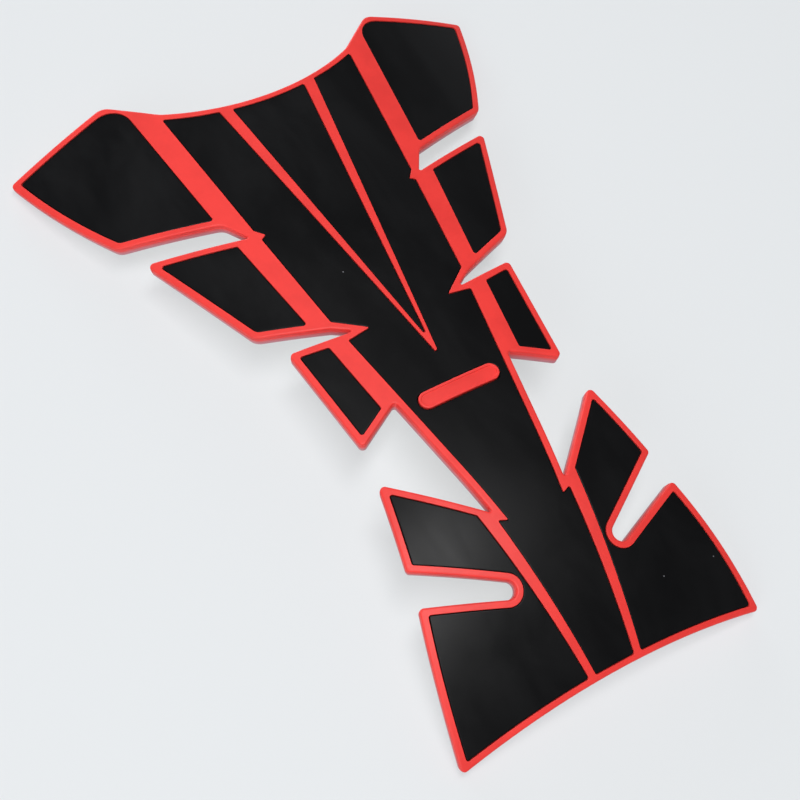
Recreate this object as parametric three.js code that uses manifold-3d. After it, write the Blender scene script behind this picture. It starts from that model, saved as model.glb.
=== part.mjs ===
// Motorcycle tank pad: a red rubber moulding laid over the crown of a fuel tank, with ten black
// grip panels let into its face, a raised badge boss and a sheet of adhesive film on its back.
// Millimetres. Everything is first drawn flat, with X across the pad, Y up its length and Z out
// of its face, and is then laid over the tank by onTank().
import Module from 'manifold-3d';
import * as THREE from 'three';
import { mergeVertices } from 'three/addons/utils/BufferGeometryUtils.js';

// Tank under the pad, measured at the pad's face
const crownRadius = 207; // bend across the tank
const tailRadius = 150; // bend along the tank, where it rolls down at the back
const tailStart = -42; // where that roll begins

// Red moulding
const padThickness = 4;
const rimWidth = 2.2; // red left outside the panels
const spineRim = 2.8; // red left beside the spine between the outer panels
const waistRim = 2.4; // red left beside its waist
const rimRound = 1.4; // rounding of the rim round the tips of the panels
const edgeRound = 0.8; // rounding of the outer top edge
const kneeX = 33; // where the hollow top edge turns up to the shoulders
const crestX = 46.9; // top of each shoulder
const crestRound = 5;
const kneeRound = 10;
const shoulderGap = { turnX: 34.5, round: 5 }; // where the gap under each shoulder turns down to its point
const wingGap = { turnX: 23.5, round: 3, point: [18, 8.9] }; // the gap between the wings, likewise
const pointRound = 0.3; // pointed inner ends of the gaps
const cornerRound = 0.8; // other inner corners

// Hollow top and bottom edges: arcs about a point on the pad's long axis
const topY = 95.3;
const topRadius = 73;
const bottomY = -110;
const bottomRadius = 420;

// Black panels
const panelThickness = 1.6;
const panelDrop = 0.2; // panel faces lie this far below the rim
const panelGap = 0.3; // groove round and under each panel
const panelChamfer = 0.3;
const panelRound = 0.8; // most panel corners
const sharpRound = 0.5; // corners drawn nearly sharp
const spurRound = 0.35; // spurs and steps of the spine

// Spine panel: half widths along its length, from the bottom edge up
const spineFoot = 6.4;
const tailStep = { y: -60.9, wide: 11.9, narrow: 9.3, tipY: -62.1 };
const midSpur = { footX: 20.8, footY: 6.7, tipX: 13.1, tipY: 7.6, topX: 22.3, topY: 14.5 };
const topSpur = { footX: 26.6, footY: 48.3, tipX: 24.8, tipY: 49.3, topX: 27.3, topY: 52.2 };
const armOuter = 33.1;
const armInner = 16.7;
const crotch = { y: -10.6, round: 0.55 };

// Centre panel, a long V between the arms of the spine
const veeHalfWidth = 12.5;
const veeTip = { y: -3.2, round: 0.35 };

// Shoulder panels
const shoulderRib = 7.8; // red rib between the spine and the panel
const shoulderFootY = 61.3;
const shoulderHeel = { x: 62.4, y: 69.6, round: 2 };
const shoulderTip = { x: 78.2, y: 104.9 };
const shoulderCrest = { y: 113.3, round: 7 };
const shoulderBow = 1.2; // outward bow of the outer edge

// Upper wing panels
const upperWingRib = { foot: 6.2, top: 7.3 };
const upperWingFootY = 16.9;
const upperWingHeel = { x: 42.2, y: 22.2, round: 2.5 };
const upperWingTip = { x: 56, y: 55.8 };
const upperWingTopY = 49.8;

// Lower wing panels
const lowerWingRib = { foot: 6.6, top: 6 };
const lowerWingFootY = -16.4;
const lowerWingHeel = { x: 32.2, y: -21.2 };
const lowerWingTip = { x: 35.5, y: 8.8 };
const lowerWingTopY = 7.4;

// Tail panels: a feather above a round-ended slot and a block below it
const tailRib = { foot: 2.7, top: 4.1 };
const tailHalfWidth = 48.3;
const tailBow = 0.8;
const featherFootY = -57;
const featherTip = { x: 34.4, y: -40 };
const featherHeel = { x: 38.6, y: -60.3 };
const blockTip = { x: 41.2, y: -74.2 };
const slotHigh = { x: 13, y: -76.7 };
const slotLow = { x: 17, y: -84.3 };
const slotRound = 4.6;

// Badge boss, standing up through the spine panel
const badgeLength = 26.5;
const badgeWidth = 5.4;
const badgeY = -20.4;
const badgeRise = 0.3; // above the rim's face
const badgeChamfer = 0.4;

// Adhesive film
const filmThickness = 0.4;
const filmInset = 2;
const filmGap = 0.3;

// Fineness of the faceted surfaces
const arcSag = 0.05; // most that a facet cuts inside an arc
const mergeDistance = 1e-4; // points nearer than this are one
const facetSag = 0.05; // most that a facet's edge cuts inside the bend

const wasm = await Module();
wasm.setup();

// Drawing helpers. A corner is [x, y, round, bow]: round is its fillet radius, and bow is how far
// the edge that leaves it swells outward as an arc. Outlines run anticlockwise.

const sagOf = (radius, chord) => radius - Math.sqrt(radius ** 2 - (chord / 2) ** 2);

function arcPoints(centre, radius, from, to) {
  const turn = Math.abs(to - from);
  const facets = Math.max(2, Math.ceil(turn / (2 * Math.acos(1 - arcSag / Math.max(radius, 2 * arcSag)))));
  return new THREE.EllipseCurve(centre.x, centre.y, radius, radius, from, to, to < from).getPoints(facets);
}

// Points between two corners along an edge that bows out by the given height
function bowPoints(start, end, bow) {
  if (!bow) return [];
  const chord = end.clone().sub(start);
  const outward = new THREE.Vector2(chord.y, -chord.x).normalize();
  const radius = ((chord.length() / 2) ** 2 + bow ** 2) / (2 * bow);
  const centre = start.clone().add(end).multiplyScalar(0.5).addScaledVector(outward, bow - radius);
  const from = Math.atan2(start.y - centre.y, start.x - centre.x);
  const full = 2 * Math.PI;
  const turn = THREE.MathUtils.euclideanModulo(Math.atan2(end.y - centre.y, end.x - centre.x) - from, full);
  const to = bow > 0 ? from + turn : from + turn - full;
  return arcPoints(centre, Math.abs(radius), from, to).slice(1, -1);
}

// A corner's fillet, kept within half of each neighbouring edge
function filletPoints(before, corner, after, round) {
  const back = before.clone().sub(corner);
  const ahead = after.clone().sub(corner);
  const room = Math.min(back.length(), ahead.length()) / 2;
  back.normalize();
  ahead.normalize();
  const half = Math.acos(THREE.MathUtils.clamp(back.dot(ahead), -1, 1)) / 2;
  const reach = Math.min(round / Math.tan(half), room);
  if (reach < arcSag) return [corner];
  const radius = reach * Math.tan(half);
  const centre = corner.clone().add(back.clone().add(ahead).setLength(radius / Math.sin(half)));
  const left = back.cross(ahead) < 0;
  const start = corner.clone().addScaledVector(back, reach).sub(centre);
  const from = Math.atan2(start.y, start.x);
  const turn = Math.PI - 2 * half;
  return arcPoints(centre, radius, from, left ? from + turn : from - turn);
}

// The closed outline that a list of corners stands for
function outline(corners) {
  const points = [];
  corners.forEach(([x, y, round = 0, bow = 0], i) => {
    const corner = new THREE.Vector2(x, y);
    const next = corners[(i + 1) % corners.length];
    points.push({ at: corner, round });
    const bowed = bowPoints(corner, new THREE.Vector2(next[0], next[1]), bow);
    points.push(...bowed.map((at) => ({ at, round: 0 })));
  });
  const curve = points.flatMap(({ at, round }, i) =>
    round ? filletPoints(points.at(i - 1).at, at, points[(i + 1) % points.length].at, round) : [at]);
  return curve.filter((point, i) => point.distanceTo(curve.at(i - 1)) > arcSag / 2);
}

// The same outline with each edge moved outward, or inward if distance is negative
function outset(corners, distance) {
  return corners.map(([x, y, round = 0, bow = 0], i) => {
    const before = corners.at(i - 1);
    const after = corners[(i + 1) % corners.length];
    const arriving = new THREE.Vector2(y - before[1], before[0] - x).normalize();
    const leaving = new THREE.Vector2(after[1] - y, x - after[0]).normalize();
    const mitre = distance / (1 + arriving.dot(leaving));
    const swell = arriving.cross(leaving) > 0 ? distance : -distance;
    return [
      x + (arriving.x + leaving.x) * mitre,
      y + (arriving.y + leaving.y) * mitre,
      Math.max(round + swell, 0),
      bow,
    ];
  });
}

// The outline's twin on the other side of the long axis
function mirrored(corners) {
  return corners.map((_, i) => {
    const k = corners.length - 1 - i;
    const [x, y, round] = corners[k];
    return [-x, y, round, corners.at(k - 1)[3] ?? 0];
  });
}

// A whole outline from its right half; a last corner on the axis is shared
function symmetric(half, footBow = 0) {
  const left = mirrored(half);
  left[left.length - 1][3] = footBow;
  return half.at(-1)[0] === 0 ? [...half, ...left.slice(1)] : [...half, ...left];
}

// Where the line through a and b crosses the line through c and d
function crossing(a, b, c, d) {
  const first = [b[0] - a[0], b[1] - a[1]];
  const second = [d[0] - c[0], d[1] - c[1]];
  const along = ((c[0] - a[0]) * second[1] - (c[1] - a[1]) * second[0])
    / (first[0] * second[1] - first[1] * second[0]);
  return [a[0] + first[0] * along, a[1] + first[1] * along];
}

// Outlines

const topEdge = (x, inset) => topY + topRadius - Math.sqrt((topRadius + inset) ** 2 - x ** 2);
const bottomEdge = (x, inset) => bottomY - bottomRadius + Math.sqrt((bottomRadius + inset) ** 2 - x ** 2);

// Spine edge: three straight stretches, tail, waist and arm
const lerpX = (y, x0, y0, x1, y1) => x0 + ((x1 - x0) * (y - y0)) / (y1 - y0);
const armEdge = (y) => lerpX(y, midSpur.topX, midSpur.topY, armOuter, topEdge(armOuter, rimWidth));
const waistEdge = (y) => lerpX(y, tailStep.narrow, tailStep.y, midSpur.footX, midSpur.footY);
const tailEdge = (y) => lerpX(y, spineFoot, bottomEdge(spineFoot, rimWidth), tailStep.wide, tailStep.y);

const spine = symmetric([
  [spineFoot, bottomEdge(spineFoot, rimWidth), sharpRound],
  [tailStep.wide, tailStep.y, spurRound],
  [waistEdge(tailStep.tipY), tailStep.tipY, spurRound],
  [midSpur.footX, midSpur.footY, spurRound],
  [midSpur.tipX, midSpur.tipY, spurRound],
  [midSpur.topX, midSpur.topY, panelRound],
  [topSpur.footX, topSpur.footY, spurRound],
  [topSpur.tipX, topSpur.tipY, spurRound],
  [topSpur.topX, topSpur.topY, panelRound],
  [armOuter, topEdge(armOuter, rimWidth), sharpRound,
    -sagOf(topRadius + rimWidth, Math.hypot(armOuter - armInner,
      topEdge(armOuter, rimWidth) - topEdge(armInner, rimWidth)))],
  [armInner, topEdge(armInner, rimWidth), sharpRound],
  [0, crotch.y, crotch.round],
]);

const vee = [
  [0, veeTip.y, veeTip.round],
  [veeHalfWidth, topEdge(veeHalfWidth, rimWidth), panelRound, -sagOf(topRadius + rimWidth, 2 * veeHalfWidth)],
  [-veeHalfWidth, topEdge(veeHalfWidth, rimWidth), panelRound],
];

const shoulder = [
  [armEdge(shoulderFootY) + shoulderRib, shoulderFootY, panelRound],
  [shoulderHeel.x, shoulderHeel.y, shoulderHeel.round, shoulderBow],
  [shoulderTip.x, shoulderTip.y, panelRound],
  [armEdge(shoulderCrest.y) + shoulderRib, shoulderCrest.y, shoulderCrest.round],
];

const upperWing = [
  [armEdge(upperWingFootY) + upperWingRib.foot, upperWingFootY, panelRound],
  [upperWingHeel.x, upperWingHeel.y, upperWingHeel.round],
  [upperWingTip.x, upperWingTip.y, panelRound],
  [armEdge(upperWingTopY) + upperWingRib.top, upperWingTopY, panelRound],
];

const lowerWing = [
  [waistEdge(lowerWingFootY) + lowerWingRib.foot, lowerWingFootY, panelRound],
  [lowerWingHeel.x, lowerWingHeel.y, panelRound],
  [lowerWingTip.x, lowerWingTip.y, panelRound],
  [waistEdge(lowerWingTopY) + lowerWingRib.top, lowerWingTopY, panelRound],
];

const tailInner = tailEdge(bottomY) + tailRib.foot;
const tail = [
  [tailInner, bottomEdge(tailInner, rimWidth), panelRound,
    -sagOf(bottomRadius + rimWidth, tailHalfWidth - tailInner)],
  [tailHalfWidth, bottomEdge(tailHalfWidth, rimWidth), panelRound, tailBow],
  [blockTip.x, blockTip.y, panelRound],
  [slotLow.x, slotLow.y, slotRound],
  [slotHigh.x, slotHigh.y, slotRound],
  [featherHeel.x, featherHeel.y, panelRound],
  [featherTip.x, featherTip.y, panelRound],
  [tailEdge(featherFootY) + tailRib.top, featherFootY, panelRound],
];

// The moulding's outline lies a rim outside the panels, and beside the spine between them
const shoulderRim = outset(shoulder, rimWidth);
const upperRim = outset(upperWing, rimWidth);
const lowerRim = outset(lowerWing, rimWidth);
const tailRim = outset(tail, rimWidth);
const besideArm = [midSpur.topY, topSpur.footY].map((y) => [armEdge(y) + spineRim, y]);
const besideWaist = [tailStep.y, midSpur.footY].map((y) => [waistEdge(y) + waistRim, y]);
const upright = (x) => [[x, 0], [x, 1]];
const crisp = ([x, y, , bow]) => [x, y, rimRound, bow];

const moulding = symmetric([
  crisp(tailRim[1]),
  crisp(tailRim[2]),
  tailRim[3],
  tailRim[4],
  crisp(tailRim[5]),
  crisp(tailRim[6]),
  [...crossing(tailRim[6], tailRim[7], ...besideWaist), pointRound],
  [...crossing(lowerRim[0], lowerRim[1], ...besideWaist), cornerRound],
  crisp(lowerRim[1]),
  crisp(lowerRim[2]),
  [...wingGap.point, pointRound],
  [...crossing(upperRim[0], upperRim[1], ...upright(wingGap.turnX)), wingGap.round],
  upperRim[1],
  crisp(upperRim[2]),
  [...crossing(upperRim[2], upperRim[3], ...besideArm), pointRound],
  [...crossing(shoulderRim[0], shoulderRim[1], ...upright(shoulderGap.turnX)), shoulderGap.round],
  shoulderRim[1],
  crisp(shoulderRim[2]),
  [...crossing(shoulderRim[2], shoulderRim[3], ...upright(crestX)), crestRound],
  [kneeX, topEdge(kneeX, 0), kneeRound, -sagOf(topRadius, 2 * kneeX)],
], -sagOf(bottomRadius, 2 * tailRim[1][0]));

const badge = [
  [badgeLength / 2, badgeY - badgeWidth / 2, badgeWidth / 2],
  [badgeLength / 2, badgeY + badgeWidth / 2, badgeWidth / 2],
  [-badgeLength / 2, badgeY + badgeWidth / 2, badgeWidth / 2],
  [-badgeLength / 2, badgeY - badgeWidth / 2, badgeWidth / 2],
];

// Flat solids

const halfReach = shoulderTip.y - bottomY; // well past every edge, from the middle

function toSolid(geometry) {
  geometry.deleteAttribute('normal');
  geometry.deleteAttribute('uv');
  const merged = mergeVertices(geometry, mergeDistance);
  return new wasm.Manifold(new wasm.Mesh({
    numProp: 3,
    vertProperties: new Float32Array(merged.attributes.position.array),
    triVerts: new Uint32Array(merged.index.array),
  }));
}

// A slab of the given outline between two heights, with its top edge broken by steps of a bevel
function slab(corners, bottom, top, bevel = 0, steps = 1) {
  const shape = new THREE.Shape(outline(corners));
  const geometry = new THREE.ExtrudeGeometry(shape, {
    depth: top - bottom - bevel,
    bevelEnabled: bevel > 0,
    bevelThickness: bevel,
    bevelSize: bevel,
    bevelOffset: -bevel,
    bevelSegments: steps,
  });
  geometry.translate(0, 0, bottom);
  const solid = toSolid(geometry);
  if (!bevel) return solid;
  const under = new THREE.BoxGeometry(2 * halfReach, 2 * halfReach, padThickness);
  under.translate(0, 0, bottom - padThickness / 2);
  return solid.subtract(toSolid(under));
}

const panelTop = -panelDrop;
const panelFloor = panelTop - panelThickness;
const pocketFloor = panelFloor - panelGap;

const panelSolid = (corners) => slab(corners, panelFloor, panelTop, panelChamfer);
const pocketSolid = (corners) => slab(outset(corners, panelGap), pocketFloor, padThickness);

// Bending over the tank: a flat point (x, y, z) goes to the point of the pad's face above (x, y),
// and from there along the face's normal by z
function onTank({ x, y, z }) {
  const fall = Math.max(0, tailStart - y);
  const crown = Math.sqrt(crownRadius ** 2 - x ** 2);
  const roll = Math.sqrt(tailRadius ** 2 - fall ** 2);
  const normal = new THREE.Vector3(x / crown, -fall / roll, 1).normalize();
  return new THREE.Vector3(x, y, crown - crownRadius + roll - tailRadius).addScaledVector(normal, z);
}

// Cutting lines so close together that the bend leaves a straight strip between two by facetSag
function cutLines(axis, from, to, radius) {
  const strips = Math.ceil((to - from) / (2 * Math.sqrt(2 * radius * facetSag)));
  const lineAt = (i) => Math.fround(from + ((to - from) * i) / strips);
  return Array.from({ length: strips + 1 }, (_, i) => ({ axis, at: lineAt(i) }));
}

const columns = cutLines('x', -halfReach, halfReach, crownRadius);
const rows = [...cutLines('y', -halfReach, tailStart, tailRadius), { axis: 'y', at: halfReach }];

const onLine = ({ axis, at }, points) => points.every((point) => Math.abs(point[axis] - at) < mergeDistance);

// A flat solid's triangles, cut anew cell by cell so that none is long across the bend. The walls
// that the cuts leave between neighbouring cells are dropped again.
function cellFacets(solid) {
  const facets = [];
  const lines = [...columns, ...rows];
  for (let i = 0; i + 1 < columns.length; i += 1) {
    for (let j = 0; j + 1 < rows.length; j += 1) {
      const low = new THREE.Vector2(columns[i].at, rows[j].at);
      const high = new THREE.Vector2(columns[i + 1].at, rows[j + 1].at);
      const cell = new THREE.BoxGeometry(high.x - low.x, high.y - low.y, 4 * padThickness);
      cell.translate((low.x + high.x) / 2, (low.y + high.y) / 2, 0);
      const { vertProperties, triVerts } = solid.intersect(toSolid(cell)).getMesh();
      for (let k = 0; k < triVerts.length; k += 3) {
        const ends = [...triVerts.slice(k, k + 3)];
        const facet = ends.map((vertex) => new THREE.Vector3().fromArray(vertProperties, 3 * vertex));
        if (!lines.some((line) => onLine(line, facet))) facets.push(facet);
      }
    }
  }
  return facets;
}

// Splits a triangle wherever the neighbouring cell has a corner on an edge of it
function meetSeams(facet, seams) {
  for (let i = 0; i < 3; i += 1) {
    const [start, end, opposite] = [0, 1, 2].map((n) => facet[(i + n) % 3]);
    const seam = seams.find(({ line }) => onLine(line, [start, end]));
    const edge = new THREE.Line3(start, end);
    const between = seam?.corners.find((corner) => {
      const nearest = edge.closestPointToPoint(corner, true, new THREE.Vector3());
      return nearest.distanceTo(corner) < mergeDistance
        && Math.min(corner.distanceTo(start), corner.distanceTo(end)) > mergeDistance;
    });
    if (between) {
      return [...meetSeams([start, between, opposite], seams), ...meetSeams([between, end, opposite], seams)];
    }
  }
  return [facet];
}

// Splits a triangle at the edge that leaves the bend furthest, until every edge keeps to it.
// Whether an edge is split depends on that edge alone, so neighbours always match.
function splitFacet(a, b, c, corners) {
  const edges = [[a, b, c], [b, c, a], [c, a, b]];
  const departures = edges.map(([start, end]) => {
    const middle = start.clone().add(end).multiplyScalar(0.5);
    return onTank(middle).distanceTo(onTank(start).add(onTank(end)).multiplyScalar(0.5));
  });
  const worst = departures.indexOf(Math.max(...departures));
  if (departures[worst] <= facetSag) {
    corners.push(a, b, c);
    return;
  }
  const [start, end, opposite] = edges[worst];
  const middle = start.clone().add(end).multiplyScalar(0.5);
  splitFacet(start, middle, opposite, corners);
  splitFacet(middle, end, opposite, corners);
}

function overTank(solid) {
  const facets = cellFacets(solid);
  const seams = [...columns, ...rows].map((line) => ({
    line,
    corners: facets.flat().filter((corner) => onLine(line, [corner])),
  }));
  const corners = [];
  for (const facet of facets.flatMap((whole) => meetSeams(whole, seams))) splitFacet(...facet, corners);
  const bent = new THREE.BufferGeometry().setFromPoints(corners.map(onTank));
  const geometry = mergeVertices(bent, mergeDistance);
  geometry.computeVertexNormals();
  return geometry;
}

// Pieces

const pad = new THREE.Group();

function addPiece(name, solid, color, roughness) {
  const material = new THREE.MeshStandardMaterial({ color, roughness, metalness: 0 });
  const mesh = new THREE.Mesh(overTank(solid), material);
  mesh.name = name;
  pad.add(mesh);
}

const sidePanels = { shoulder, upper_wing: upperWing, lower_wing: lowerWing, tail };
const pairs = Object.values(sidePanels).flatMap((corners) => [corners, mirrored(corners)]);
const allPanels = [spine, vee, ...pairs];
const badgeHole = slab(outset(badge, panelGap), pocketFloor - padThickness, padThickness);

const body = allPanels.reduce(
  (solid, corners) => solid.subtract(pocketSolid(corners)),
  slab(moulding, -padThickness, 0, edgeRound, 2),
);
const boss = slab(badge, pocketFloor - panelGap, badgeRise, badgeChamfer);
addPiece('base_moulding', body.add(boss), 0xf0403a, 0.5);

const panelBlack = 0x1a1a1b;
const panelRoughness = 0.6;
addPiece('spine_panel', panelSolid(spine).subtract(badgeHole), panelBlack, panelRoughness);
addPiece('centre_panel', panelSolid(vee), panelBlack, panelRoughness);
for (const [name, corners] of Object.entries(sidePanels)) {
  addPiece(`right_${name}_panel`, panelSolid(corners), panelBlack, panelRoughness);
  addPiece(`left_${name}_panel`, panelSolid(mirrored(corners)), panelBlack, panelRoughness);
}

const filmTop = -padThickness - filmGap;
const film = slab(outset(moulding, -filmInset), filmTop - filmThickness, filmTop);
addPiece('adhesive_film', film, 0xd9d6cc, 0.4);

// The pad stands on its shoulder tips and tail corners: it leans until they are level, and the
// origin is under the middle of its box
const underside = ([x, y]) => onTank({ x, y, z: -padThickness });
const tipPoint = underside(shoulderRim[2]);
const tailPoint = underside(tailRim[1]);
pad.rotation.x = -Math.atan2(tipPoint.z - tailPoint.z, tipPoint.y - tailPoint.y);
pad.updateMatrixWorld(true);
const box = new THREE.Box3().setFromObject(pad, true);
pad.position.set(0, -(box.min.y + box.max.y) / 2, -box.min.z);

export default pad;
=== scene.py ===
"""Studio scene of a curved motorcycle tank pad.

A red rubber moulding follows the crown of a fuel tank. Ten matte black grip panels are let into
its face, a raised badge boss stands up through the middle one, and a sheet of adhesive film lies
on its back. Every outline is drawn flat in millimetres, with X across the pad and Y up its
length, and is then laid over the tank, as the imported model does.
"""
import logging
from dataclasses import dataclass, field
from enum import Enum
from functools import partial
from typing import Callable, Sequence

import bpy
import numpy as np
from mathutils import Matrix, Vector
from mathutils.geometry import delaunay_2d_cdt

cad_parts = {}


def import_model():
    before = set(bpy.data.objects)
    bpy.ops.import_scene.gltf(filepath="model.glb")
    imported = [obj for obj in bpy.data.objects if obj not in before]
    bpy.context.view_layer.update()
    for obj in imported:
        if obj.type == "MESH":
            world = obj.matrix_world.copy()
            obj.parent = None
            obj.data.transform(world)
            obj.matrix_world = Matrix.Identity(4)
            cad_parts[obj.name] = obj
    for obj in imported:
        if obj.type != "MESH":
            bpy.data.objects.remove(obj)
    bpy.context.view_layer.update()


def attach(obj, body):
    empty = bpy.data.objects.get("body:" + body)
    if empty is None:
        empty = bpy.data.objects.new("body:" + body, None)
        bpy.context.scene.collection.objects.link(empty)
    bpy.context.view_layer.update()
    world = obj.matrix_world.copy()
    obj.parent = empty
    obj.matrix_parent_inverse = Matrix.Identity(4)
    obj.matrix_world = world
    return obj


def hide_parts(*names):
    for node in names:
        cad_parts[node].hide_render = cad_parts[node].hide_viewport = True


log = logging.getLogger("tank_pad")

MM = 0.001
EDGE_STEP = 1.6  # longest step along an outline's edge, in millimetres
EDGE_SLACK = 0.01  # an edge this much of a step over a whole number gets no step more
FILLET_STEP = np.radians(9)  # largest turn between two samples of a fillet
FILLET_LEAST = 2  # fewest steps round one
LEAST_ROUND = 0.02  # fillet of a corner drawn sharp, in millimetres
TINY = 1e-6
INSIDE_RINGS = 1  # the triangulation drops what lies outside the rings
COLOUR_A, COLOUR_B = 6, 7  # a Mix node's colour inputs, by number, as its other inputs share their names
MIXED = 2  # its colour output
Spot = tuple[float, float]
Corner = tuple[float, float, float, float]
AddNode = Callable[..., bpy.types.Node]


class Side(Enum):
    """Which half of the pad a piece lies on, as the sign of X."""

    RIGHT = 1
    LEFT = -1


# Flat outlines


@dataclass(frozen=True)
class Path:
    """A closed outline, sampled, with the unit normal that points out of it at each sample."""

    points: np.ndarray
    normals: np.ndarray


def corner(x: float, y: float, rounding: float = 0.0, bow: float = 0.0) -> Corner:
    """One corner of an outline: its place, its fillet radius and the bow of the edge that leaves it."""
    return (x, y, rounding, bow)


def trace(corners: Sequence[Corner]) -> Path:
    """Samples an outline of rounded corners and bowed edges.

    Each corner gives a fillet, start + radius (sin a along the arriving edge + (1 - cos a) along
    its inner side), for the angle a from 0 to the corner's turn. Each edge gives the cubic that
    leaves one fillet and meets the next in the edge's own directions, and is longer by
    1 / cos^2 of half the swing where the edge is bowed, so that it keeps to the arc.

    Args:
        corners: corners in anticlockwise order, as made by corner().

    Returns:
        The sampled outline.
    """
    table = np.array(corners, float)
    place, rounding, bow = table[:, :2], table[:, 2], table[:, 3]
    chord = np.roll(place, -1, axis=0) - place
    length = np.linalg.norm(chord, axis=1)
    heading = np.arctan2(chord[:, 1], chord[:, 0])
    swing = 2 * np.arctan(2 * bow / length)
    stretch = 1 / np.cos(swing / 2) ** 2
    leave = heading - swing
    arrive = np.roll(heading + swing, 1)
    turn = (leave - arrive + np.pi) % (2 * np.pi) - np.pi
    room = 0.5 * np.minimum(length, np.roll(length, 1))
    half_turn = np.tan(np.abs(turn) / 2)
    reach = np.minimum(np.maximum(rounding, LEAST_ROUND) * half_turn, room)
    radius = reach / np.maximum(half_turn, TINY)

    def unit(angle: np.ndarray) -> np.ndarray:
        """Unit vectors at the given angles."""
        return np.stack([np.cos(angle), np.sin(angle)], axis=-1)

    fillet_start = place - unit(arrive) * reach[:, None]
    fillet_end = place + unit(leave) * reach[:, None]
    fillet_steps = np.maximum(np.ceil(np.abs(turn) / FILLET_STEP), FILLET_LEAST).astype(int)
    edge = np.roll(fillet_start, -1, axis=0) - fillet_end
    edge_length = np.linalg.norm(edge, axis=1)
    edge_steps = np.ceil(edge_length / EDGE_STEP - EDGE_SLACK).astype(int)

    steps = np.stack([fillet_steps, edge_steps], axis=1).ravel()
    piece = np.repeat(np.arange(steps.size), steps)
    share = (np.arange(steps.sum()) - np.repeat(np.cumsum(steps) - steps, steps)) / steps[piece]
    owner, on_edge = piece // 2, (piece % 2 == 1)[:, None]

    angle = turn[owner] * share
    side = np.sign(turn[owner])
    along, inner = unit(arrive[owner]), unit(arrive[owner] + np.pi / 2 * side)
    curl = radius[owner][:, None] * (np.sin(np.abs(angle))[:, None] * along
                                     + (1 - np.cos(angle))[:, None] * inner)
    on_fillet = fillet_start[owner] + curl
    fillet_heading = arrive[owner] + angle

    u = share[:, None]
    first, last = fillet_end[owner], np.roll(fillet_start, -1, axis=0)[owner]
    pull = (edge_length * stretch)[owner][:, None]
    out_of = unit(leave[owner]) * pull
    into = unit(np.roll(arrive, -1)[owner]) * pull
    cubic = ((2 * u**3 - 3 * u**2 + 1) * first + (u**3 - 2 * u**2 + u) * out_of
             + (3 * u**2 - 2 * u**3) * last + (u**3 - u**2) * into)
    slope = ((6 * u**2 - 6 * u) * (first - last) + (3 * u**2 - 4 * u + 1) * out_of
             + (3 * u**2 - 2 * u) * into)
    edge_heading = np.arctan2(slope[:, 1], slope[:, 0])

    facing = np.where(on_edge[:, 0], edge_heading, fillet_heading) - np.pi / 2
    return Path(np.where(on_edge, cubic, on_fillet), unit(facing))


def to_unit(vectors: np.ndarray) -> np.ndarray:
    """Each row divided by its own length."""
    return vectors / np.linalg.norm(vectors, axis=1)[:, None]


def flat_cross(p: np.ndarray, q: np.ndarray) -> np.ndarray:
    """The cross product of flat vectors, one number for each pair: p_x q_y - p_y q_x."""
    return p[..., 0] * q[..., 1] - p[..., 1] * q[..., 0]


def outset(corners: Sequence[Corner], distance: float) -> list[Corner]:
    """Moves each edge of an outline outward.

    A corner between edges with outward normals m and n goes by distance (m + n) / (1 + m . n).

    Args:
        corners: the outline.
        distance: how far its edges go, in millimetres; inward below zero.

    Returns:
        The moved outline, whose fillets keep their centres.
    """
    table = np.array(corners, float)
    chord = np.roll(table[:, :2], -1, axis=0) - table[:, :2]
    out = to_unit(np.stack([chord[:, 1], -chord[:, 0]], axis=1))
    before = np.roll(out, 1, axis=0)
    mitre = distance / (1 + (before * out).sum(axis=1))
    place = table[:, :2] + (before + out) * mitre[:, None]
    rounding = np.maximum(table[:, 2] + np.where(flat_cross(before, out) > 0, distance, -distance), 0)
    return [tuple(row) for row in np.column_stack([place, rounding, table[:, 3]]).tolist()]


def mirrored(corners: Sequence[Corner]) -> list[Corner]:
    """Mirrors an outline across the long axis.

    Args:
        corners: the outline.

    Returns:
        Its twin, again in anticlockwise order.
    """
    table = np.array(corners, float)[::-1]
    table[:, 0] *= -1
    table[:, 3] = np.roll(table[:, 3], -1)
    return [tuple(row) for row in table.tolist()]


def symmetric(half: Sequence[Corner], foot_bow: float = 0.0) -> list[Corner]:
    """Makes a whole outline from its right half.

    Args:
        half: corners from the foot up; a last corner on the axis is shared.
        foot_bow: bow of the edge that closes the outline at its foot.

    Returns:
        The whole outline.
    """
    left = [list(c) for c in mirrored(half)]
    left[-1][3] = foot_bow
    shared = half[-1][0] == 0
    if shared:
        left = left[1:]
    return [*half, *(tuple(c) for c in left)]


def crossing(first: Sequence[Sequence[float]], second: Sequence[Sequence[float]]) -> Spot:
    """Finds where two lines cross: a + t (b - a) with t = (c - a) x (d - c) / (b - a) x (d - c).

    Args:
        first: a and b, two points of the one line.
        second: c and d, two points of the other.

    Returns:
        The crossing.
    """
    (a, b), (c, d) = (np.array([point[:2] for point in line]) for line in (first, second))
    x, y = a + (b - a) * flat_cross(c - a, d - c) / flat_cross(b - a, d - c)
    return float(x), float(y)


def inside(points: np.ndarray, loop: np.ndarray) -> np.ndarray:
    """Counts the loop's edges that a ray along +X crosses: an odd count is inside.

    Args:
        points: points in the plane.
        loop: the corners of a closed loop.

    Returns:
        One truth value for each point.
    """
    x, y = points[:, :1], points[:, 1:]
    ax, ay = loop[:, 0], loop[:, 1]
    bx, by = np.roll(ax, -1), np.roll(ay, -1)
    spans = (ay > y) != (by > y)
    rise = np.where(by == ay, TINY, by - ay)
    hits = spans & (x < ax + (y - ay) * (bx - ax) / rise)
    return hits.sum(axis=1) % 2 == 1


# The tank under the pad


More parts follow.
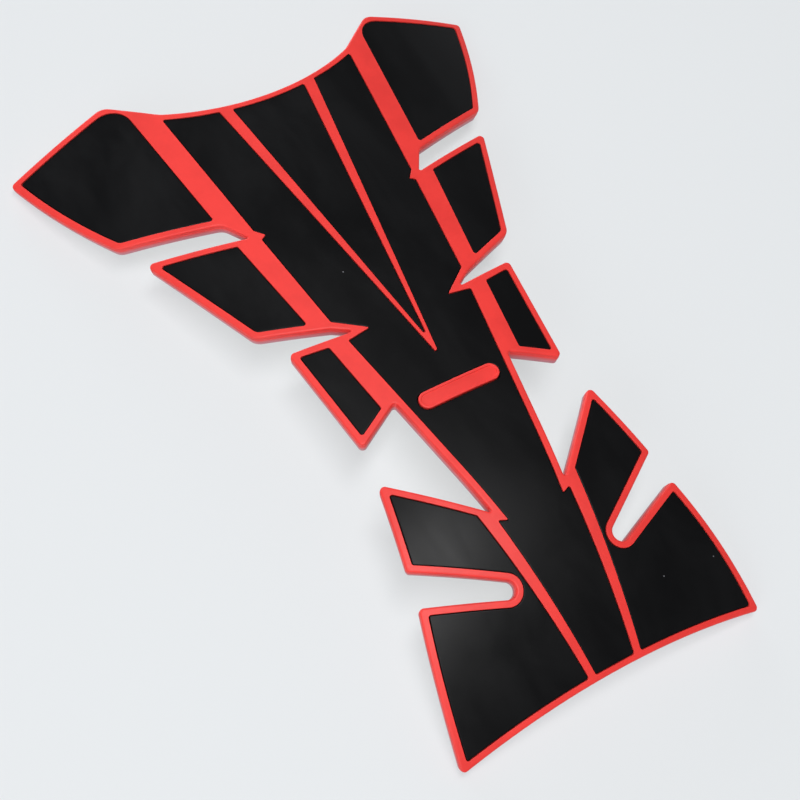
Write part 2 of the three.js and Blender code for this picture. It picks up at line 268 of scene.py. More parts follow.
@dataclass(frozen=True)
class TankForm:
    """The bend of the tank, measured at the pad's face, and where the pad stands in the row frame.

    A flat point (x, y, z) goes to the face above (x, y), whose height is
    sqrt(crown^2 - x^2) - crown + sqrt(tail^2 - fall^2) - tail with fall = how far y lies below the
    start of the roll, and from there along the face's normal by z.
    """

    crown: float = 207.0
    tail: float = 150.0
    tail_start: float = -42.0

    def bend(self, flat: np.ndarray) -> np.ndarray:
        """Lays flat points over the tank.

        Args:
            flat: flat points, in millimetres.

        Returns:
            Their places on the tank, before the pad leans.
        """
        x, y, z = flat[:, 0], flat[:, 1], flat[:, 2]
        fall = np.maximum(0, self.tail_start - y)
        across, along = np.sqrt(self.crown**2 - x**2), np.sqrt(self.tail**2 - fall**2)
        normal = to_unit(np.stack([x / across, -fall / along, np.ones_like(x)], axis=1))
        face = np.stack([x, y, across - self.crown + along - self.tail], axis=1)
        return face + normal * z[:, None]

    def turn_normals(self, flat: np.ndarray, facing: np.ndarray) -> np.ndarray:
        """Flat normals carried over the tank.

        With a and b the face's slopes across and along, a flat normal (p, q, r) becomes
        p (b x n) + q (n x a) + r n, for n = a x b, the way a surface's normals follow its bend.

        Args:
            flat: the flat points that the normals stand at.
            facing: their flat normals.

        Returns:
            The normals after bending, not yet of unit length.
        """
        x, y = flat[:, 0], flat[:, 1]
        fall = np.maximum(0, self.tail_start - y)
        none, one = np.zeros_like(x), np.ones_like(x)
        a = np.stack([one, none, -x / np.sqrt(self.crown**2 - x**2)], axis=1)
        b = np.stack([none, one, fall / np.sqrt(self.tail**2 - fall**2)], axis=1)
        n = to_unit(np.cross(a, b))
        return facing[:, :1] * np.cross(b, n) + facing[:, 1:2] * np.cross(n, a) + facing[:, 2:] * n


@dataclass
class Seat:
    """How the bent pad stands: shoulder tips and tail corners level, origin below its middle."""

    form: TankForm
    lean: float = 0.0
    shift: np.ndarray = field(default_factory=lambda: np.zeros(3))

    def settle(self, tip: np.ndarray, heel: np.ndarray, shell: np.ndarray) -> None:
        """Finds the lean from two flat points, and the shift from the box of the leaning shell.

        Args:
            tip: flat point of a shoulder tip's underside.
            heel: flat point of a tail corner's underside.
            shell: flat points all round the moulding.
        """
        rise = np.diff(self.form.bend(np.stack([heel, tip])), axis=0)[0]
        self.lean = -float(np.arctan2(rise[2], rise[1]))
        standing = self.form.bend(shell) @ self.turn().T
        low, high = standing.min(axis=0), standing.max(axis=0)
        self.shift = np.array([0.0, -(low[1] + high[1]) / 2, -low[2]])

    def turn(self) -> np.ndarray:
        """The lean as a rotation about X."""
        c, s = np.cos(self.lean), np.sin(self.lean)
        return np.array([[1, 0, 0], [0, c, -s], [0, s, c]])

    def face(self, flat: np.ndarray, facing: np.ndarray) -> np.ndarray:
        """Flat normals at flat points as unit normals in the row frame."""
        return to_unit(self.form.turn_normals(flat, facing) @ self.turn().T)

    def place(self, flat: np.ndarray) -> np.ndarray:
        """Flat millimetres to metres in the row frame: bend, lean, shift."""
        return (self.form.bend(flat) @ self.turn().T + self.shift) * MM


# Sizes of the pad, in flat millimetres


@dataclass(frozen=True)
class SpineSizes:
    """Half widths and right-hand corners of the spine panel, from the bottom up, and of the V in it."""

    foot: float = 6.4
    step_y: float = -60.9
    step_wide: float = 11.9
    step_narrow: float = 9.3
    step_tip_y: float = -62.1
    mid_spur_foot: Spot = (20.8, 6.7)
    mid_spur_tip: Spot = (13.1, 7.6)
    mid_spur_top: Spot = (22.3, 14.5)
    top_spur_foot: Spot = (26.6, 48.3)
    top_spur_tip: Spot = (24.8, 49.3)
    top_spur_top: Spot = (27.3, 52.2)
    arm_outer: float = 33.1
    arm_inner: float = 16.7
    crotch_y: float = -10.6
    crotch_round: float = 0.55
    vee_half: float = 12.5
    vee_tip_y: float = -3.2


@dataclass(frozen=True)
class WingSizes:
    """A right-hand panel beside the spine: outer corners, and the heights of the inner ones.

    A rib is the red that is left between the panel and the spine.
    """

    foot_y: float
    foot_rib: float
    heel: Corner
    tip: Spot
    top_y: float
    top_rib: float
    top_round: float = 0.6


@dataclass(frozen=True)
class TailSizes:
    """The right-hand tail panel: a feather and a block round the end of a slot."""

    foot_rib: float = 2.7
    top_rib: float = 4.1
    half: float = 48.3
    bow: float = 0.8
    feather_foot_y: float = -57.0
    feather_tip: Spot = (34.4, -40.0)
    feather_heel: Spot = (38.6, -60.3)
    block_tip: Spot = (41.2, -74.2)
    slot_high: Spot = (13.0, -76.7)
    slot_low: Spot = (17.0, -84.3)
    slot_round: float = 4.6


@dataclass(frozen=True)
class PadSizes:
    """Sizes of the pad as drawn flat."""

    spine: SpineSizes = SpineSizes()
    shoulder: WingSizes = WingSizes(
        foot_y=61.3, foot_rib=7.8, heel=(62.4, 69.6, 2.0, 1.2), tip=(78.2, 104.9),
        top_y=113.3, top_rib=7.8, top_round=7.0)
    upper_wing: WingSizes = WingSizes(
        foot_y=16.9, foot_rib=6.2, heel=(42.2, 22.2, 2.5, 0.0), tip=(56.0, 55.8), top_y=49.8, top_rib=7.3)
    lower_wing: WingSizes = WingSizes(
        foot_y=-16.4, foot_rib=6.6, heel=(32.2, -21.2, 0.6, 0.0), tip=(35.5, 8.8), top_y=7.4, top_rib=6.0)
    tail: TailSizes = TailSizes()
    thickness: float = 4.0
    rim: float = 2.2  # red left outside the panels
    spine_rim: float = 2.8  # red left beside the spine's arms
    waist_rim: float = 2.4  # red left beside its waist
    rim_round: float = 1.4
    point_round: float = 0.3  # pointed inner ends of the gaps
    corner_round: float = 0.8
    knee_x: float = 33.0  # where the hollow top edge turns up to the shoulders
    knee_round: float = 10.0
    crest_x: float = 46.9  # inner end of the shoulders' top edge
    crest_round: float = 5.0
    shoulder_gap_turn: float = 34.5  # the x at which the gap turns down to its point
    shoulder_gap_round: float = 5.0
    wing_gap_turn: float = 23.5  # likewise
    wing_gap_round: float = 3.0
    wing_gap_point: Spot = (18.0, 8.9)
    top_y: float = 95.3
    top_radius: float = 73.0
    bottom_y: float = -110.0
    bottom_radius: float = 420.0
    panel_thickness: float = 1.6
    panel_drop: float = 0.2
    panel_gap: float = 0.3  # groove under a panel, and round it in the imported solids
    seam: float = 0.15  # what is drawn of that groove round a panel
    panel_round: float = 0.6
    sharp_round: float = 0.5
    spur_round: float = 0.35
    badge_length: float = 26.5
    badge_width: float = 5.4
    badge_y: float = -20.4
    badge_rise: float = 0.3

    def top_edge(self, x: float, inset: float) -> float:
        """Height of the hollow top edge at x, or of an edge inset from it: an arc about the long axis."""
        return self.top_y + self.top_radius - float(np.sqrt((self.top_radius + inset) ** 2 - x**2))

    def bottom_edge(self, x: float, inset: float) -> float:
        """Height of the hollow bottom edge at x, likewise."""
        return self.bottom_y - self.bottom_radius + float(np.sqrt((self.bottom_radius + inset) ** 2 - x**2))

    def panel_back(self) -> float:
        """Height of the panels' undersides."""
        return -self.panel_drop - self.panel_thickness

    def pocket_floor(self) -> float:
        """Height of the pockets' floors, a groove below the panels."""
        return self.panel_back() - self.panel_gap


def sag(radius: float, chord: float) -> float:
    """How far an arc of that radius rises over a chord: r - sqrt(r^2 - (c / 2)^2)."""
    return radius - float(np.sqrt(radius**2 - (chord / 2) ** 2))


def between(y: float, low: Sequence[float], high: Sequence[float]) -> float:
    """The x at height y on the line through two points."""
    return low[0] + (high[0] - low[0]) * (y - low[1]) / (high[1] - low[1])


class Pattern:
    """All the outlines of the pad, as lists of corners."""

    def __init__(self, sizes: PadSizes) -> None:
        """Draws the panels first and the moulding round them.

        Args:
            sizes: the pad's sizes.
        """
        self.sizes = sizes
        self.arm_top = (sizes.spine.arm_outer, sizes.top_edge(sizes.spine.arm_outer, sizes.rim))
        self.spine = self.draw_spine()
        self.vee = self.draw_vee()
        self.badge = self.draw_badge()
        self.panels = {
            "shoulder": self.draw_wing(sizes.shoulder, self.arm),
            "upper_wing": self.draw_wing(sizes.upper_wing, self.arm),
            "lower_wing": self.draw_wing(sizes.lower_wing, self.waist),
            "tail": self.draw_tail_panel(),
        }
        self.rims = {name: outset(panel, sizes.rim) for name, panel in self.panels.items()}
        self.moulding = self.draw_moulding()

    def all_panels(self) -> dict[str, list[Corner]]:
        """Gathers the panels of both sides.

        Returns:
            Every panel's outline by the name of its node, the spine first.
        """
        sides = {
            f"{side.name.lower()}_{name}_panel": panel if side is Side.RIGHT else mirrored(panel)
            for name, panel in self.panels.items()
            for side in Side
        }
        return {"spine_panel": self.spine, "centre_panel": self.vee, **sides}

    def rests(self) -> tuple[Corner, Corner]:
        """The moulding's corners that the pad stands on: the tip of a shoulder and a corner of the tail."""
        return self.rims["shoulder"][2], self.rims["tail"][1]

    def arm(self, y: float) -> float:
        """Half width of the spine's arms at y."""
        return between(y, self.sizes.spine.mid_spur_top, self.arm_top)

    def waist(self, y: float) -> float:
        """Half width of the spine's waist at y."""
        spine = self.sizes.spine
        return between(y, (spine.step_narrow, spine.step_y), spine.mid_spur_foot)

    def tail(self, y: float) -> float:
        """Half width of the spine's tail at y."""
        spine, foot_y = self.sizes.spine, self.sizes.bottom_edge(self.sizes.spine.foot, self.sizes.rim)
        return between(y, (spine.foot, foot_y), (spine.step_wide, spine.step_y))

    def draw_spine(self) -> list[Corner]:
        """Draws the long panel: a foot, a step, two pairs of spurs and two arms round a deep V.

        Returns:
            Its outline.
        """
        pad, spine = self.sizes, self.sizes.spine
        inner = (spine.arm_inner, pad.top_edge(spine.arm_inner, pad.rim))
        reach = float(np.hypot(self.arm_top[0] - inner[0], self.arm_top[1] - inner[1]))
        return symmetric([
            corner(spine.foot, pad.bottom_edge(spine.foot, pad.rim), pad.sharp_round),
            corner(spine.step_wide, spine.step_y, pad.spur_round),
            corner(self.waist(spine.step_tip_y), spine.step_tip_y, pad.spur_round),
            corner(*spine.mid_spur_foot, pad.spur_round),
            corner(*spine.mid_spur_tip, pad.spur_round),
            corner(*spine.mid_spur_top, pad.panel_round),
            corner(*spine.top_spur_foot, pad.spur_round),
            corner(*spine.top_spur_tip, pad.spur_round),
            corner(*spine.top_spur_top, pad.panel_round),
            corner(*self.arm_top, pad.sharp_round, -sag(pad.top_radius + pad.rim, reach)),
            corner(*inner, pad.sharp_round),
            corner(0, spine.crotch_y, spine.crotch_round),
        ])

    def draw_vee(self) -> list[Corner]:
        """Draws the centre panel, a long V with a hollow top.

        Returns:
            Its outline.
        """
        pad, half = self.sizes, self.sizes.spine.vee_half
        top = pad.top_edge(half, pad.rim)
        return [
            corner(0, pad.spine.vee_tip_y, pad.spur_round),
            corner(half, top, pad.panel_round, -sag(pad.top_radius + pad.rim, 2 * half)),
            corner(-half, top, pad.panel_round),
        ]

    def draw_badge(self) -> list[Corner]:
        """Draws the badge, a stadium.

        Returns:
            Its outline.
        """
        pad, end, half = self.sizes, self.sizes.badge_length / 2, self.sizes.badge_width / 2
        ends = ((end, -half), (end, half), (-end, half), (-end, -half))
        return [corner(x, pad.badge_y + y, half) for x, y in ends]

    def draw_wing(self, wing: WingSizes, rail: Callable[[float], float]) -> list[Corner]:
        """Draws a panel of four corners beside the spine.

        Args:
            wing: its sizes.
            rail: half width of the spine there, at a given y.

        Returns:
            Its outline.
        """
        return [
            corner(rail(wing.foot_y) + wing.foot_rib, wing.foot_y, self.sizes.panel_round),
            wing.heel,
            corner(*wing.tip, self.sizes.panel_round),
            corner(rail(wing.top_y) + wing.top_rib, wing.top_y, wing.top_round),
        ]

    def draw_tail_panel(self) -> list[Corner]:
        """Draws the right-hand tail panel.

        Returns:
            Its outline.
        """
        pad, tail, soft = self.sizes, self.sizes.tail, self.sizes.panel_round
        foot = self.tail(pad.bottom_y) + tail.foot_rib
        foot_bow = -sag(pad.bottom_radius + pad.rim, tail.half - foot)
        return [
            corner(foot, pad.bottom_edge(foot, pad.rim), soft, foot_bow),
            corner(tail.half, pad.bottom_edge(tail.half, pad.rim), soft, tail.bow),
            corner(*tail.block_tip, soft),
            corner(*tail.slot_low, tail.slot_round),
            corner(*tail.slot_high, tail.slot_round),
            corner(*tail.feather_heel, soft),
            corner(*tail.feather_tip, soft),
            corner(self.tail(tail.feather_foot_y) + tail.top_rib, tail.feather_foot_y, soft),
        ]

    def draw_moulding(self) -> list[Corner]:
        """Draws the red outline: a rim outside each panel, meeting beside the spine in pointed gaps.

        Returns:
            Its outline.
        """
        pad, spine = self.sizes, self.sizes.spine
        shoulder, upper, lower, tail = self.rims.values()
        arm_ends = (spine.mid_spur_top[1], spine.top_spur_foot[1])
        waist_ends = (spine.step_y, spine.mid_spur_foot[1])
        beside_arm = [(self.arm(y) + pad.spine_rim, y) for y in arm_ends]
        beside_waist = [(self.waist(y) + pad.waist_rim, y) for y in waist_ends]

        def upright(x: float) -> list[Spot]:
            """Two points of the vertical line at x."""
            return [(x, 0), (x, 1)]

        def crisp(c: Corner) -> Corner:
            """The same corner with the moulding's small rounding."""
            return corner(c[0], c[1], pad.rim_round, c[3])

        gap_turn = crossing(shoulder[:2], upright(pad.shoulder_gap_turn))
        knee = (pad.knee_x, pad.top_edge(pad.knee_x, 0))
        return symmetric([
            crisp(tail[1]),
            crisp(tail[2]),
            tail[3],
            tail[4],
            crisp(tail[5]),
            crisp(tail[6]),
            corner(*crossing(tail[6:], beside_waist), pad.point_round),
            corner(*crossing(lower[:2], beside_waist), pad.corner_round),
            crisp(lower[1]),
            crisp(lower[2]),
            corner(*pad.wing_gap_point, pad.point_round),
            corner(*crossing(upper[:2], upright(pad.wing_gap_turn)), pad.wing_gap_round),
            upper[1],
            crisp(upper[2]),
            corner(*crossing(upper[2:], beside_arm), pad.point_round),
            corner(*gap_turn, pad.shoulder_gap_round),
            shoulder[1],
            crisp(shoulder[2]),
            corner(*crossing(shoulder[2:], upright(pad.crest_x)), pad.crest_round),
            corner(*knee, pad.knee_round, -sag(pad.top_radius, 2 * pad.knee_x)),
        ], -sag(pad.bottom_radius, 2 * tail[1][0]))


# Meshes


def put(name: str, data: bpy.types.ID) -> bpy.types.Object:
    """Makes an object and links it into the scene.

    Args:
        name: its name.
        data: its mesh, light or camera.

    Returns:
        The object.
    """
    made = bpy.data.objects.new(name, data)
    bpy.context.scene.collection.objects.link(made)
    return made


class Sheet:
    """A closed rubber surface put together from profiles carried along outlines and flat fields.

    Every point keeps its own flat normal, so that the shading follows the true curve.
    """

    clearance: float = 0.45  # a field's own points keep this share of its pitch away from the rings
    batch: int = 500  # points measured against the rings at a time

    def __init__(self, seat: Seat) -> None:
        """Starts empty.

        Args:
            seat: where flat points go in the row frame.
        """
        self.seat = seat
        self.flat: list[np.ndarray] = []
        self.facing: list[np.ndarray] = []
        self.faces: list[np.ndarray] = []
        self.count = 0

    def add_points(self, flat: np.ndarray, facing: np.ndarray) -> np.ndarray:
        """Stores flat points with their flat normals.

        Args:
            flat: the points.
            facing: their normals.

        Returns:
            The points' numbers.
        """
        numbers = self.count + np.arange(len(flat))
        self.flat.append(flat)
        self.facing.append(facing)
        self.count += len(flat)
        return numbers

    def carry(self, path: Path, profile: np.ndarray) -> np.ndarray:
        """Carries a profile along an outline.

        A grid point is the outline's sample moved outward by the profile's first number, at the
        height that is its second. Its normal is the profile's own, a quarter turn from the mean
        of the profile's two directions there.

        Args:
            path: the sampled outline.
            profile: rows of (outward distance, height), from one end of the wall to the other.

        Returns:
            The numbers of the grid's points, one row for each profile row.
        """
        out, height = profile[:, 0][:, None, None], profile[:, 1][:, None]
        plan = path.points[None] + out * path.normals[None]
        level = np.broadcast_to(height, plan.shape[:2])
        step = to_unit(np.diff(profile, axis=0))
        heading = to_unit(np.vstack([step[:1], step]) + np.vstack([step, step[-1:]]))
        sideways = heading[:, 1][:, None, None] * path.normals[None]
        upward = np.broadcast_to(-heading[:, 0][:, None], plan.shape[:2])
        facing = np.dstack([sideways, upward]).reshape(-1, 3)
        grid = self.add_points(np.dstack([plan, level]).reshape(-1, 3), facing).reshape(plan.shape[:2])
        low, high = grid[:-1], grid[1:]
        quads = np.stack([low, np.roll(low, -1, axis=1), np.roll(high, -1, axis=1), high], axis=-1)
        quads = quads.reshape(-1, 4)
        self.faces += [quads[:, [0, 1, 2]], quads[:, [0, 2, 3]]]
        return grid

    def fill(
        self, outer: np.ndarray, holes: Sequence[np.ndarray], height: float, upward: bool, pitch: float
    ) -> None:
        """Closes a field between rings of points that are already there.

        The field's own points stand on a grid of equilateral triangles, and a constrained
        triangulation joins them to the rings.

        Args:
            outer: numbers of the points round the field.
            holes: numbers of the points round each hole in it.
            height: the field's height in the flat drawing.
            upward: whether the field faces up.
            pitch: spacing of the grid, in millimetres.
        """
        stored = np.concatenate(self.flat)[:, :2]
        rings = [outer, *holes]
        edge = stored[outer]
        low, high = edge.min(axis=0), edge.max(axis=0)
        rows = np.arange(low[1], high[1], pitch * np.sqrt(3) / 2)
        columns = np.arange(low[0], high[0], pitch)
        grid_x = columns[None] + (np.arange(len(rows)) % 2)[:, None] * pitch / 2
        grid = np.stack([grid_x, np.broadcast_to(rows[:, None], grid_x.shape)], axis=-1).reshape(-1, 2)
        border = np.concatenate([stored[r] for r in rings])
        keep = inside(grid, edge)
        for hole in holes:
            keep &= ~inside(grid, stored[hole])
        grid = grid[keep]
        nearest = np.concatenate([
            np.sqrt(((block[:, None] - border[None]) ** 2).sum(axis=-1)).min(axis=1)
            for block in np.array_split(grid, max(1, len(grid) // self.batch))
        ])
        grid = grid[nearest > self.clearance * pitch]
        facing = np.tile([0.0, 0.0, 1.0 if upward else -1.0], (len(grid), 1))
        own = self.add_points(np.column_stack([grid, np.full(len(grid), height)]), facing)
        numbers = np.concatenate([*rings, own])
        starts = np.cumsum([0, *[len(r) for r in rings]])
        edges = np.concatenate([
            np.stack([a + np.arange(len(r)), a + np.roll(np.arange(len(r)), -1)], axis=1)
            for a, r in zip(starts, rings)
        ])
        plan = np.concatenate([border, grid])
        _, _, faces, origins, _, _ = delaunay_2d_cdt(plan.tolist(), edges.tolist(), [], INSIDE_RINGS, TINY)
        if any(len(o) != 1 for o in origins):
            raise ValueError("two outlines touch, so the field between them can't be closed")
        first = np.array(origins).ravel()
        triangles = first[np.array(faces)]
        for hole in holes:
            triangles = triangles[~inside(plan[triangles].mean(axis=1), stored[hole])]
        if not upward:
            triangles = triangles[:, ::-1]
        self.faces.append(numbers[triangles])

    def finish(self, name: str, material: bpy.types.Material, slot: str, node: str) -> None:
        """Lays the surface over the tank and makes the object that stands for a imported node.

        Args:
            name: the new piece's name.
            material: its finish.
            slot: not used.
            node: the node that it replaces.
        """
        flat, faces = np.concatenate(self.flat), np.concatenate(self.faces)
        normals = self.seat.face(flat, np.concatenate(self.facing))
        mesh = bpy.data.meshes.new(name)
        mesh.from_pydata(self.seat.place(flat).tolist(), [], faces.tolist())
        mesh.update()
        mesh.shade_smooth()
        mesh.normals_split_custom_set_from_vertices(normals.tolist())
        drawing = mesh.attributes.new("drawing", "FLOAT_VECTOR", "POINT")
        drawing.data.foreach_set("vector", (flat * MM).astype(np.float32).ravel())
        mesh.materials.append(material)
        piece = put(name, mesh)
        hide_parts(node)
        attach(piece, "root")
        log.info("%s: %d triangles", name, len(faces))


def rounded(start: Spot, middle: Spot, end: Spot, count: int) -> np.ndarray:
    """Rounds a corner of a profile: (1 - t)^2 start + 2 t (1 - t) middle + t^2 end, for t from 0 to 1.

    Args:
        start: where the curve leaves the straight.
        middle: the sharp corner.
        end: where it joins the next straight.
        count: how many points it gets, both ends included.

    Returns:
        The points.
    """
    t = np.linspace(0, 1, count)[:, None]
    p, q, r = (np.array(v, float) for v in (start, middle, end))
    return (1 - t) ** 2 * p + 2 * t * (1 - t) * q + t**2 * r


# Finishes


def linear(colour: str) -> tuple[float, float, float, float]:
    """Turns an sRGB colour linear: ((c + 0.055) / 1.055)^2.4 above 0.04045, and c / 12.92 below.

    Args:
        colour: the colour in hex, after a hash.

    Returns:
        Red, green, blue and alpha.
    """
    c = np.array([int(colour[i:i + 2], 16) for i in (1, 3, 5)]) / 255
    light = np.where(c > 0.04045, ((c + 0.055) / 1.055) ** 2.4, c / 12.92)
    return (*light.tolist(), 1.0)


def per_metre(size_mm: float) -> float:
    """The scale that gives a pattern on Object coordinates a feature of that many millimetres."""
    return 1 / (size_mm * MM)


def add_node(
    tree: bpy.types.NodeTree, kind: str, inputs: dict[str | int, object] | None = None, **settings: object
) -> bpy.types.Node:
    """Adds one shader node with its settings, socket values and links.

    Args:
        tree: the material's or world's tree.
        kind: the node's type name, after the word ShaderNode.
        inputs: socket values by name or number; an output socket is linked instead.
        settings: properties of the node.

    Returns:
        The new node.
    """
    node = tree.nodes.new(f"ShaderNode{kind}")
    for name, value in settings.items():
        setattr(node, name, value)
    for name, value in (inputs or {}).items():
        if isinstance(value, bpy.types.NodeSocket):
            tree.links.new(value, node.inputs[name])
        else:
            node.inputs[name].default_value = value
    return node


def ramp(
    add: AddNode, value: bpy.types.NodeSocket, span: Spot, out: Spot = (0.0, 1.0)
) -> bpy.types.NodeSocket:
    """Maps a socket's value smoothly from one span to another.

    Args:
        add: add_node for the tree.
        value: the socket.
        span: the two values between which the result changes.
        out: the result at each of them.

    Returns:
        The result's socket.
    """
    return add("MapRange", {
        "Value": value, "From Min": span[0], "From Max": span[1], "To Min": out[0], "To Max": out[1],
    }, interpolation_type="SMOOTHSTEP").outputs["Result"]


class Finish:
    """What every finish shares: a node material, on Object coordinates, named for the real thing."""

    name: str

    def shader(self, add: AddNode, place: bpy.types.NodeSocket) -> bpy.types.Node:
        """Adds the finish's own nodes.

        Args:
            add: add_node for the material's tree.
            place: Object coordinates.

        Returns:
            The shader.
        """
        raise NotImplementedError

    def material(self) -> bpy.types.Material:
        """Builds the material.

        Returns:
            The material.
        """
        result = bpy.data.materials.new(self.name)
        result.use_nodes = True
        result.node_tree.nodes.clear()
        add = partial(add_node, result.node_tree)
        shader = self.shader(add, add("TexCoord").outputs["Object"])
        add("OutputMaterial", {"Surface": shader.outputs["BSDF"]})
        return result


@dataclass(frozen=True)
class SatinRedRubber(Finish):
    """Injection-moulded thermoplastic rubber, coloured through, off a finely blasted mould.

    It reads as a bright, even, slightly waxy red with a soft gloss, a little deeper where the
    surface has been handled. The side walls are painted paler and greyer towards the foot, a
    painted reflection of a pale surface below them.
    """

    name = "satin_red_moulded_rubber"
    colour: str = "#f43d37"
    handled: str = "#e93833"
    # foot: painted reflection, the pale greyish colour that the walls take towards their foot
    foot: str = "#c8808a"
    specular: float = 0.38
    roughness: Spot = (0.40, 0.52)
    grain_mm: float = 0.5  # the real grain is near 0.1 mm, drawn coarse enough to show
    grain_span: Spot = (0.3, 0.7)
    grain_height: float = 0.03
    cloud_mm: float = 14.0
    cloud_span: Spot = (0.35, 0.7)
    cloud_height: float = 0.25
    painted_reflection_mm: Spot = (-3.6, -1.0)  # painted reflection: the walls pale from the second height down to the first

    def shader(self, add: AddNode, place: bpy.types.NodeSocket) -> bpy.types.Node:
        """Adds clouds of handling, a painted reflection that pales the walls downward, and a fine grain.

        Args:
            add: add_node for the material's tree.
            place: Object coordinates.

        Returns:
            The shader.
        """
        cloud = add("TexNoise", {
            "Vector": place, "Scale": per_metre(self.cloud_mm), "Detail": 4.0, "Roughness": 0.6})
        grain = add("TexNoise", {
            "Vector": place, "Scale": per_metre(self.grain_mm), "Detail": 3.0, "Roughness": 0.65})
        colour = add("Mix", {
            "Factor": ramp(add, cloud.outputs["Fac"], self.cloud_span),
            COLOUR_A: linear(self.colour), COLOUR_B: linear(self.handled)}, data_type="RGBA")
        # painted reflection: by height, the walls blend from the red to the pale foot colour
        drawing = add("Attribute", attribute_name="drawing")
        depth = add("SeparateXYZ", {"Vector": drawing.outputs["Vector"]})
        fade = (self.painted_reflection_mm[0] * MM, self.painted_reflection_mm[1] * MM)
        painted_reflection_colour = add("Mix", {
            "Factor": ramp(add, depth.outputs["Z"], fade, (1.0, 0.0)),
            COLOUR_A: colour.outputs[MIXED], COLOUR_B: linear(self.foot)}, data_type="RGBA")
        relief = add("Bump", {
            "Height": grain.outputs["Fac"], "Strength": 0.16, "Distance": self.grain_height * MM})
        swell = add("Bump", {
            "Height": cloud.outputs["Fac"], "Strength": 0.12, "Distance": self.cloud_height * MM,
            "Normal": relief.outputs["Normal"]})
        return add("BsdfPrincipled", {
            "Base Color": painted_reflection_colour.outputs[MIXED], "IOR": 1.5, "Specular IOR Level": self.specular,
            "Roughness": ramp(add, grain.outputs["Fac"], self.grain_span, self.roughness),
            "Normal": swell.outputs["Normal"]})


@dataclass(frozen=True)
class MattBlackRubber(Finish):
    """Black grip rubber off a sparked mould, wiped clean.

    It reads as near black with a dull, broad sheen that turns grey towards the light, faint
    cloudy wipe marks and a few specks of dust.
    """

    name = "matt_black_grip_rubber"
    colour: str = "#0b0b0c"
    worn: str = "#101011"
    dust: str = "#6c6c6f"
    specular: float = 0.15
    roughness: Spot = (0.31, 0.46)
    grain_mm: float = 0.45  # the real grain is near 0.08 mm, drawn coarse enough to show
    grain_height: float = 0.03
    smear_mm: float = 22.0
    smear_turn: tuple[float, float, float] = (0.0, 0.0, 0.6)
    smear_scale: tuple[float, float, float] = (1.0, 0.45, 1.0)  # draws the wipe marks out
    smear_span: Spot = (0.35, 0.75)
    gloss_span: Spot = (0.3, 0.75)
    smear_height: float = 0.3
    speck_mm: float = 9.0  # cells, of which some have a speck at their heart
    speck_span: Spot = (0.022, 0.03)
    speck_chance: Spot = (0.62, 0.64)

    def shader(self, add: AddNode, place: bpy.types.NodeSocket) -> bpy.types.Node:
        """Adds wipe marks, specks of dust and a fine grain.

        Args:
            add: add_node for the material's tree.
            place: Object coordinates.

        Returns:
            The shader.
        """
        drawn_out = add("Mapping", {
            "Vector": place, "Rotation": self.smear_turn, "Scale": self.smear_scale})
        smear = add("TexNoise", {
            "Vector": drawn_out.outputs["Vector"], "Scale": per_metre(self.smear_mm), "Detail": 5.0,
            "Roughness": 0.6, "Distortion": 0.4})
        grain = add("TexNoise", {
            "Vector": place, "Scale": per_metre(self.grain_mm), "Detail": 3.0, "Roughness": 0.7})
        specks = add("TexVoronoi", {
            "Vector": place, "Scale": per_metre(self.speck_mm), "Randomness": 1.0}, feature="F1")
        chance = add("SeparateColor", {"Color": specks.outputs["Color"]})
        near = ramp(add, specks.outputs["Distance"], self.speck_span, (1.0, 0.0))
        some = ramp(add, chance.outputs["Red"], self.speck_chance)
        dusty = add("Math", {0: near, 1: some}, operation="MULTIPLY")
        base = add("Mix", {
            "Factor": ramp(add, smear.outputs["Fac"], self.smear_span),
            COLOUR_A: linear(self.colour), COLOUR_B: linear(self.worn)}, data_type="RGBA")
        colour = add("Mix", {
            "Factor": dusty.outputs["Value"],
            COLOUR_A: base.outputs[MIXED], COLOUR_B: linear(self.dust)}, data_type="RGBA")
        relief = add("Bump", {
            "Height": grain.outputs["Fac"], "Strength": 0.3, "Distance": self.grain_height * MM})
        swell = add("Bump", {
            "Height": smear.outputs["Fac"], "Strength": 0.1, "Distance": self.smear_height * MM,
            "Normal": relief.outputs["Normal"]})
        return add("BsdfPrincipled", {
            "Base Color": colour.outputs[MIXED], "IOR": 1.5, "Specular IOR Level": self.specular,
            "Roughness": ramp(add, smear.outputs["Fac"], self.gloss_span, self.roughness),
            "Normal": swell.outputs["Normal"]})


